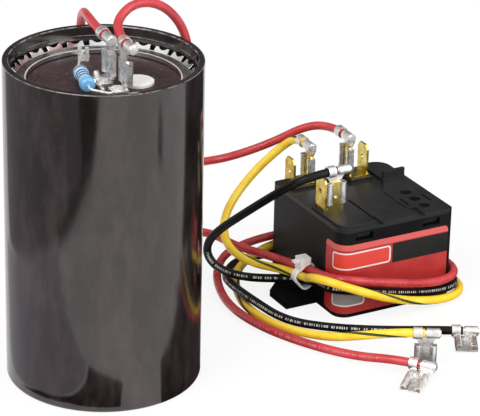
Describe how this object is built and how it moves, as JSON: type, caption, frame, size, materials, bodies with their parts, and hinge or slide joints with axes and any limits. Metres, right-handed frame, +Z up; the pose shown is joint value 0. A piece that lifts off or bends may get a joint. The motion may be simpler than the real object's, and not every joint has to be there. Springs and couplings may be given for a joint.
{
  "type": "compressor start relay",
  "caption": "Compressor start relay with a round start capacitor: moulded relay block and tall cylindrical can joined by insulated leads with flag receptacles and a cable tie",
  "frame": {"origin": "centre of the capacitor's flat base, on the surface that the kit stands on", "axes": "+Z up along the capacitor's axis, +X to the right towards the relay, +Y to the back"},
  "size_m": [0.1608, 0.1427, 0.1272],
  "materials": {
    "case": "gloss",
    "roll": "matte",
    "foil": "satin",
    "gasket": "matte",
    "phenolic": "satin",
    "ring_steel": "bright",
    "vent": "satin",
    "tinned": "satin",
    "resistor": "gloss",
    "flag_tin": "satin",
    "relay_plastic": "matte",
    "label": "satin",
    "brass": "satin",
    "bobbin": "satin",
    "winding": "satin",
    "iron": "satin",
    "contact": "satin",
    "spring_steel": "satin",
    "lead_red": "satin",
    "lead_yellow": "satin",
    "lead_black": "satin",
    "nylon": "satin"
  },
  "bodies": {
    "kit": {"capacitor_case": "case", "winding_roll": "roll", "winding_tabs": "foil", "cover_gasket": "gasket", "cover_disc": "phenolic", "star_ring": "ring_steel", "vent_plug": "vent", "capacitor_tab_1": "tinned", "capacitor_tab_2": "tinned", "solder_lug": "tinned", "resistor_leads": "tinned", "terminal_rivets": "tinned", "bleed_resistor": "resistor", "flag_cap_1": "flag_tin", "flag_cap_2": "flag_tin", "flag_relay_red": "flag_tin", "flag_relay_yellow": "flag_tin", "flag_relay_black": "flag_tin", "flag_free_red": "flag_tin", "flag_free_yellow": "flag_tin", "flag_free_black": "flag_tin", "relay_base": "relay_plastic", "relay_cover": "relay_plastic", "relay_label": "label", "terminal_back_left": "brass", "terminal_back_right": "brass", "terminal_front": "brass", "contact_bracket": "brass", "coil_bobbin": "bobbin", "coil_winding": "winding", "coil_core": "iron", "magnet_frame": "iron", "fixed_contact": "contact", "lead_red_link": "lead_red", "lead_red_free": "lead_red", "lead_yellow": "lead_yellow", "lead_black": "lead_black", "cable_tie": "nylon"},
    "armature": {"armature": "iron", "contact_arm": "brass", "moving_contact": "contact", "return_spring": "spring_steel"}
  },
  "joints": [
    {"name": "armature_hinge", "type": "hinge", "parent": "kit", "child": "armature", "pos_m": [0.1049, 0.08014, 0.0259], "axis": [0.4923, -0.8704, 0], "range_deg": [0, 3.5], "stiffness_Nm_per_rad": 0.02, "springref_deg": -17.19}
  ]
}
